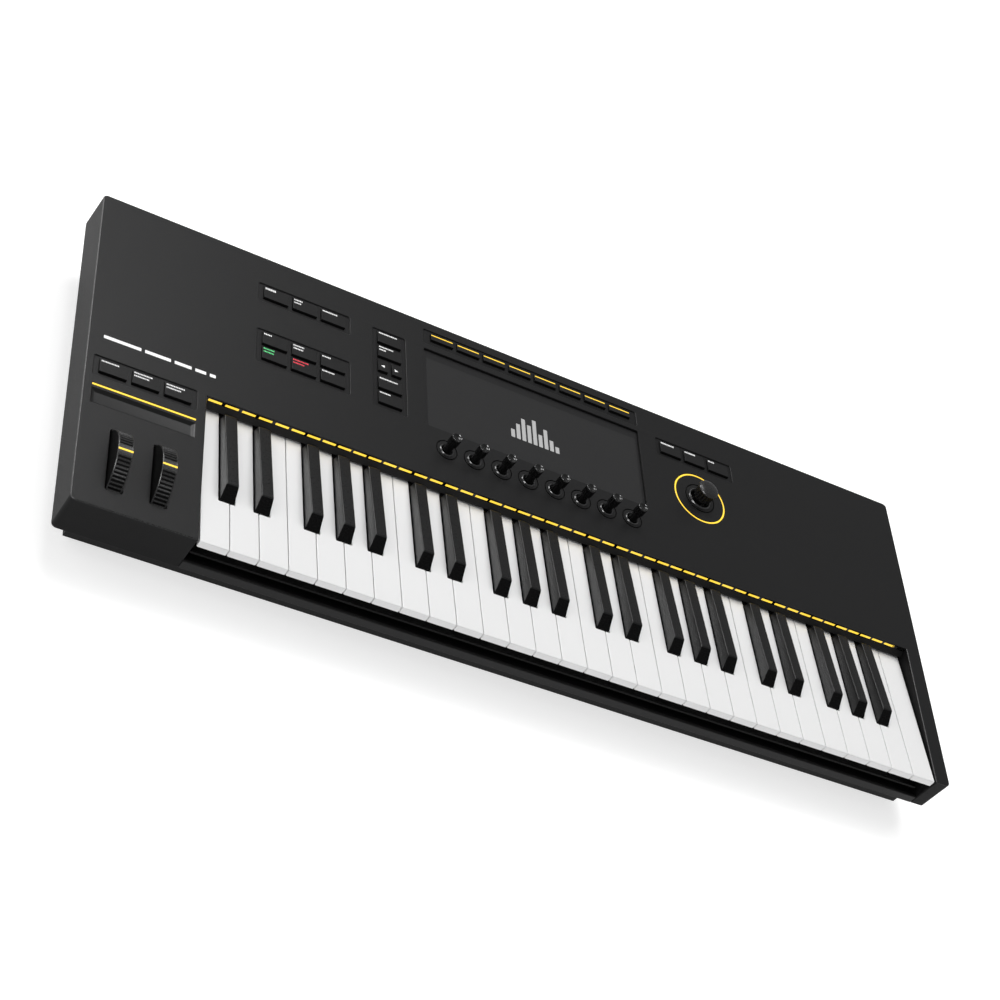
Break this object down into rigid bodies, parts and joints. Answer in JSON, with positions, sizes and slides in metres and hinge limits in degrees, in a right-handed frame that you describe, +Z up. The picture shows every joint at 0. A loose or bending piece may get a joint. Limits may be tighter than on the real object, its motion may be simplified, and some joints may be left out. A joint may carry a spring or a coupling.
{
  "type": "midi keyboard",
  "caption": "Desktop keyboard controller with full-size piano keys, two wheels, a touch strip, a display, knobs, a push-and-tilt encoder and illuminated buttons.",
  "frame": {"origin": "on the supporting surface, under the middle of the keyboard's outline", "axes": "+X to the player's right along the keys, +Y away from the player, +Z up"},
  "size_m": [0.7958, 0.3237, 0.0882],
  "materials": {
    "case": "fine matte charcoal texture",
    "pan": "matte",
    "foot_rubber": "matte",
    "screw_steel": "black zinc",
    "rail": "matte",
    "light_strip": "gloss with lit windows",
    "fascia": "satin",
    "keybed_steel": "satin",
    "rod_steel": "ground",
    "contact_board": "solder mask",
    "display_glass": "gloss",
    "display_module": "satin",
    "circuit_board": "solder mask",
    "socket_plastic": "satin",
    "collar": "satin with a bright edge",
    "lens": "lit lens",
    "touch_surface": "satin",
    "bracket": "moulded",
    "wheel": "ribbed, matte",
    "encoder_metal": "satin",
    "knob": "fluted, soft touch",
    "white_key": "satin gloss",
    "black_key": "satin",
    "button": "satin"
  },
  "bodies": {
    "housing": {"top_case": "case", "bottom_pan": "pan", "rubber_feet": "foot_rubber", "case_screws": "screw_steel", "front_rail": "rail", "key_light_strip": "light_strip", "key_fascia": "fascia", "keybed_frame": "keybed_steel", "key_pivot_rod": "rod_steel", "key_contact_board": "contact_board", "display_glass": "display_glass", "display_module": "display_module", "control_board": "circuit_board", "main_board": "circuit_board", "rear_sockets": "socket_plastic", "knob_collars": "collar", "indicator_lenses": "lens", "touch_strip": "touch_surface", "wheel_bracket": "bracket"},
    "c_keys": {"c_keys": "white_key"},
    "c_sharp_keys": {"c_sharp_keys": "black_key"},
    "d_keys": {"d_keys": "white_key"},
    "d_sharp_keys": {"d_sharp_keys": "black_key"},
    "e_keys": {"e_keys": "white_key"},
    "f_keys": {"f_keys": "white_key"},
    "f_sharp_keys": {"f_sharp_keys": "black_key"},
    "g_keys": {"g_keys": "white_key"},
    "g_sharp_keys": {"g_sharp_keys": "black_key"},
    "a_keys": {"a_keys": "white_key"},
    "a_sharp_keys": {"a_sharp_keys": "black_key"},
    "b_keys": {"b_keys": "white_key"},
    "pitch_bend_wheel": {"pitch_bend_wheel": "wheel"},
    "modulation_wheel": {"modulation_wheel": "wheel"},
    "knob_1": {"knob_1": "knob"},
    "knob_2": {"knob_2": "knob"},
    "knob_3": {"knob_3": "knob"},
    "knob_4": {"knob_4": "knob"},
    "knob_5": {"knob_5": "knob"},
    "knob_6": {"knob_6": "knob"},
    "knob_7": {"knob_7": "knob"},
    "knob_8": {"knob_8": "knob"},
    "octave_button_1": {"octave_button_1": "button"},
    "octave_button_2": {"octave_button_2": "button"},
    "octave_button_3": {"octave_button_3": "button"},
    "edit_button_1": {"edit_button_1": "button"},
    "edit_button_2": {"edit_button_2": "button"},
    "edit_button_3": {"edit_button_3": "button"},
    "nav_button_1": {"nav_button_1": "button"},
    "nav_button_2": {"nav_button_2": "button"},
    "nav_button_3": {"nav_button_3": "button"},
    "transport_upper_buttons": {"transport_upper_buttons": "button"},
    "transport_lower_buttons": {"transport_lower_buttons": "button"},
    "column_upper_buttons": {"column_upper_buttons": "button"},
    "column_arrow_buttons": {"column_arrow_buttons": "button"},
    "column_lower_buttons": {"column_lower_buttons": "button"},
    "display_buttons": {"display_buttons": "button"},
    "encoder_gimbal": {"encoder_gimbal": "encoder_metal"},
    "encoder_cradle": {"encoder_cradle": "encoder_metal"},
    "encoder_shaft": {"encoder_shaft": "encoder_metal"},
    "encoder_knob": {"encoder_knob": "knob"}
  },
  "joints": [
    {"name": "c_keys_press", "type": "hinge", "parent": "housing", "child": "c_keys", "pos_m": [0.04, 0.02516, 0.05073], "axis": [1, 0, 0], "range_deg": [0, 3], "stiffness_Nm_per_rad": 4, "springref_deg": -4.58},
    {"name": "c_sharp_keys_press", "type": "hinge", "parent": "housing", "child": "c_sharp_keys", "pos_m": [0.04, 0.02516, 0.05073], "axis": [1, 0, 0], "range_deg": [0, 3], "stiffness_Nm_per_rad": 4, "springref_deg": -4.58},
    {"name": "d_keys_press", "type": "hinge", "parent": "housing", "child": "d_keys", "pos_m": [0.04, 0.02516, 0.05073], "axis": [1, 0, 0], "range_deg": [0, 3], "stiffness_Nm_per_rad": 4, "springref_deg": -4.58},
    {"name": "d_sharp_keys_press", "type": "hinge", "parent": "housing", "child": "d_sharp_keys", "pos_m": [0.04, 0.02516, 0.05073], "axis": [1, 0, 0], "range_deg": [0, 3], "stiffness_Nm_per_rad": 4, "springref_deg": -4.58},
    {"name": "e_keys_press", "type": "hinge", "parent": "housing", "child": "e_keys", "pos_m": [0.04, 0.02516, 0.05073], "axis": [1, 0, 0], "range_deg": [0, 3], "stiffness_Nm_per_rad": 4, "springref_deg": -4.58},
    {"name": "f_keys_press", "type": "hinge", "parent": "housing", "child": "f_keys", "pos_m": [0.04, 0.02516, 0.05073], "axis": [1, 0, 0], "range_deg": [0, 3], "stiffness_Nm_per_rad": 4, "springref_deg": -4.58},
    {"name": "f_sharp_keys_press", "type": "hinge", "parent": "housing", "child": "f_sharp_keys", "pos_m": [0.04, 0.02516, 0.05073], "axis": [1, 0, 0], "range_deg": [0, 3], "stiffness_Nm_per_rad": 4, "springref_deg": -4.58},
    {"name": "g_keys_press", "type": "hinge", "parent": "housing", "child": "g_keys", "pos_m": [0.04, 0.02516, 0.05073], "axis": [1, 0, 0], "range_deg": [0, 3], "stiffness_Nm_per_rad": 4, "springref_deg": -4.58},
    {"name": "g_sharp_keys_press", "type": "hinge", "parent": "housing", "child": "g_sharp_keys", "pos_m": [0.04, 0.02516, 0.05073], "axis": [1, 0, 0], "range_deg": [0, 3], "stiffness_Nm_per_rad": 4, "springref_deg": -4.58},
    {"name": "a_keys_press", "type": "hinge", "parent": "housing", "child": "a_keys", "pos_m": [0.04, 0.02516, 0.05073], "axis": [1, 0, 0], "range_deg": [0, 3], "stiffness_Nm_per_rad": 4, "springref_deg": -4.58},
    {"name": "a_sharp_keys_press", "type": "hinge", "parent": "housing", "child": "a_sharp_keys", "pos_m": [0.04, 0.02516, 0.05073], "axis": [1, 0, 0], "range_deg": [0, 3], "stiffness_Nm_per_rad": 4, "springref_deg": -4.58},
    {"name": "b_keys_press", "type": "hinge", "parent": "housing", "child": "b_keys", "pos_m": [0.04, 0.02516, 0.05073], "axis": [1, 0, 0], "range_deg": [0, 3], "stiffness_Nm_per_rad": 4, "springref_deg": -4.58},
    {"name": "pitch_bend_wheel_turn", "type": "hinge", "parent": "housing", "child": "pitch_bend_wheel", "pos_m": [-0.367, -0.11458, 0.04758], "axis": [1, 0, 0], "range_deg": [-35, 35], "stiffness_Nm_per_rad": 0.06},
    {"name": "modulation_wheel_turn", "type": "hinge", "parent": "housing", "child": "modulation_wheel", "pos_m": [-0.3332, -0.11458, 0.04758], "axis": [1, 0, 0], "range_deg": [-35, 35]},
    {"name": "knob_1_turn", "type": "hinge", "parent": "housing", "child": "knob_1", "pos_m": [-0.09098, 0.01441, 0.06847], "axis": [0, -0.0593, 0.9982], "continuous": true},
    {"name": "knob_2_turn", "type": "hinge", "parent": "housing", "child": "knob_2", "pos_m": [-0.06513, 0.01441, 0.06847], "axis": [0, -0.0593, 0.9982], "continuous": true},
    {"name": "knob_3_turn", "type": "hinge", "parent": "housing", "child": "knob_3", "pos_m": [-0.03927, 0.01441, 0.06847], "axis": [0, -0.0593, 0.9982], "continuous": true},
    {"name": "knob_4_turn", "type": "hinge", "parent": "housing", "child": "knob_4", "pos_m": [-0.01342, 0.01441, 0.06847], "axis": [0, -0.0593, 0.9982], "continuous": true},
    {"name": "knob_5_turn", "type": "hinge", "parent": "housing", "child": "knob_5", "pos_m": [0.01243, 0.01441, 0.06847], "axis": [0, -0.0593, 0.9982], "continuous": true},
    {"name": "knob_6_turn", "type": "hinge", "parent": "housing", "child": "knob_6", "pos_m": [0.03828, 0.01441, 0.06847], "axis": [0, -0.0593, 0.9982], "continuous": true},
    {"name": "knob_7_turn", "type": "hinge", "parent": "housing", "child": "knob_7", "pos_m": [0.06413, 0.01441, 0.06847], "axis": [0, -0.0593, 0.9982], "continuous": true},
    {"name": "knob_8_turn", "type": "hinge", "parent": "housing", "child": "knob_8", "pos_m": [0.08997, 0.01441, 0.06847], "axis": [0, -0.0593, 0.9982], "continuous": true},
    {"name": "octave_button_1_press", "type": "slide", "parent": "housing", "child": "octave_button_1", "axis": [0, 0.0593, -0.9982], "range_m": [0, 0.0008], "stiffness_N_per_m": 600, "springref_m": -0.0008},
    {"name": "octave_button_2_press", "type": "slide", "parent": "housing", "child": "octave_button_2", "axis": [0, 0.0593, -0.9982], "range_m": [0, 0.0008], "stiffness_N_per_m": 600, "springref_m": -0.0008},
    {"name": "octave_button_3_press", "type": "slide", "parent": "housing", "child": "octave_button_3", "axis": [0, 0.0593, -0.9982], "range_m": [0, 0.0008], "stiffness_N_per_m": 600, "springref_m": -0.0008},
    {"name": "edit_button_1_press", "type": "slide", "parent": "housing", "child": "edit_button_1", "axis": [0, 0.0593, -0.9982], "range_m": [0, 0.0008], "stiffness_N_per_m": 600, "springref_m": -0.0008},
    {"name": "edit_button_2_press", "type": "slide", "parent": "housing", "child": "edit_button_2", "axis": [0, 0.0593, -0.9982], "range_m": [0, 0.0008], "stiffness_N_per_m": 600, "springref_m": -0.0008},
    {"name": "edit_button_3_press", "type": "slide", "parent": "housing", "child": "edit_button_3", "axis": [0, 0.0593, -0.9982], "range_m": [0, 0.0008], "stiffness_N_per_m": 600, "springref_m": -0.0008},
    {"name": "nav_button_1_press", "type": "slide", "parent": "housing", "child": "nav_button_1", "axis": [0, 0.0593, -0.9982], "range_m": [0, 0.0008], "stiffness_N_per_m": 600, "springref_m": -0.0008},
    {"name": "nav_button_2_press", "type": "slide", "parent": "housing", "child": "nav_button_2", "axis": [0, 0.0593, -0.9982], "range_m": [0, 0.0008], "stiffness_N_per_m": 600, "springref_m": -0.0008},
    {"name": "nav_button_3_press", "type": "slide", "parent": "housing", "child": "nav_button_3", "axis": [0, 0.0593, -0.9982], "range_m": [0, 0.0008], "stiffness_N_per_m": 600, "springref_m": -0.0008},
    {"name": "transport_upper_buttons_press", "type": "slide", "parent": "housing", "child": "transport_upper_buttons", "axis": [0, 0.0593, -0.9982], "range_m": [0, 0.0008], "stiffness_N_per_m": 600, "springref_m": -0.0008},
    {"name": "transport_lower_buttons_press", "type": "slide", "parent": "housing", "child": "transport_lower_buttons", "axis": [0, 0.0593, -0.9982], "range_m": [0, 0.0008], "stiffness_N_per_m": 600, "springref_m": -0.0008},
    {"name": "column_upper_buttons_press", "type": "slide", "parent": "housing", "child": "column_upper_buttons", "axis": [0, 0.0593, -0.9982], "range_m": [0, 0.0008], "stiffness_N_per_m": 600, "springref_m": -0.0008},
    {"name": "column_arrow_buttons_press", "type": "slide", "parent": "housing", "child": "column_arrow_buttons", "axis": [0, 0.0593, -0.9982], "range_m": [0, 0.0008], "stiffness_N_per_m": 600, "springref_m": -0.0008},
    {"name": "column_lower_buttons_press", "type": "slide", "parent": "housing", "child": "column_lower_buttons", "axis": [0, 0.0593, -0.9982], "range_m": [0, 0.0008], "stiffness_N_per_m": 600, "springref_m": -0.0008},
    {"name": "display_buttons_press", "type": "slide", "parent": "housing", "child": "display_buttons", "axis": [0, 0.0593, -0.9982], "range_m": [0, 0.0008], "stiffness_N_per_m": 600, "springref_m": -0.0008},
    {"name": "encoder_tilt_front_back", "type": "hinge", "parent": "housing", "child": "encoder_gimbal", "pos_m": [0.1679, 0.06885, 0.06429], "axis": [1, 0, 0], "range_deg": [-4, 4], "stiffness_Nm_per_rad": 0.5},
    {"name": "encoder_tilt_sideways", "type": "hinge", "parent": "encoder_gimbal", "child": "encoder_cradle", "pos_m": [0.1679, 0.06885, 0.06429], "axis": [0, 0.9982, 0.0593], "range_deg": [-4, 4], "stiffness_Nm_per_rad": 0.5},
    {"name": "encoder_push", "type": "slide", "parent": "encoder_cradle", "child": "encoder_shaft", "axis": [0, 0.0593, -0.9982], "range_m": [0, 0.001], "stiffness_N_per_m": 800, "springref_m": -0.0008},
    {"name": "encoder_turn", "type": "hinge", "parent": "encoder_shaft", "child": "encoder_knob", "pos_m": [0.1679, 0.06841, 0.07168], "axis": [0, -0.0593, 0.9982], "continuous": true}
  ]
}
